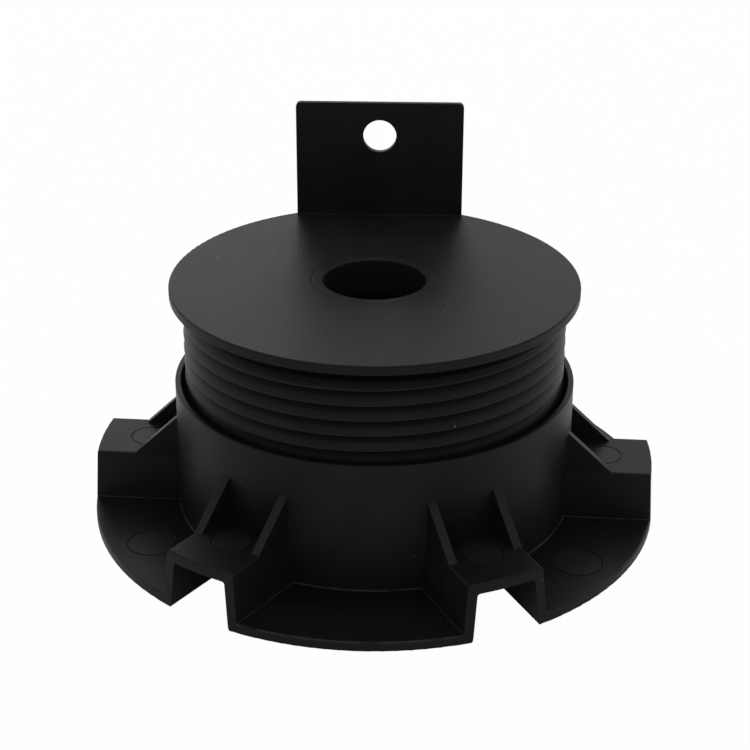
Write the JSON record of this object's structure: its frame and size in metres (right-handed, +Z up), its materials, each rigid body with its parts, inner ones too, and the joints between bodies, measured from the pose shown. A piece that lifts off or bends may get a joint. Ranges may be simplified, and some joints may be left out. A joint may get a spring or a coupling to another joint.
{
  "type": "decking pedestal",
  "caption": "Black plastic decking pedestal: flanged base with raised channels and a threaded collar, and a screw-in head with a flat seat and an upright fixing tab.",
  "frame": {"origin": "centre of the base's underside, where the pedestal stands", "axes": "+Z up along the screw's axis; the base's channels lie every 60 degrees from +X; the plain front sector faces -Y; the head's tab stands towards +Y"},
  "size_m": [0.1688, 0.17, 0.1098],
  "materials": {
    "black_plastic": "satin moulded polypropylene, fine grain"
  },
  "bodies": {
    "base": {"base": "black_plastic"},
    "centre_sleeve": {"centre_sleeve": "black_plastic"},
    "head": {"head": "black_plastic"}
  },
  "joints": [
    {"name": "height_slide", "type": "slide", "parent": "base", "child": "centre_sleeve", "axis": [0, 0, 1], "range_m": [-0.0271, 0.003]},
    {"name": "head_turn", "type": "hinge", "parent": "centre_sleeve", "child": "head", "pos_m": [0, 0, 0.06], "axis": [0, 0, 1], "range_deg": [-2144, 237]}
  ],
  "couplings": [
    {"joint": "height_slide", "follows": "head_turn", "m_per_rad": 0.00072415}
  ]
}
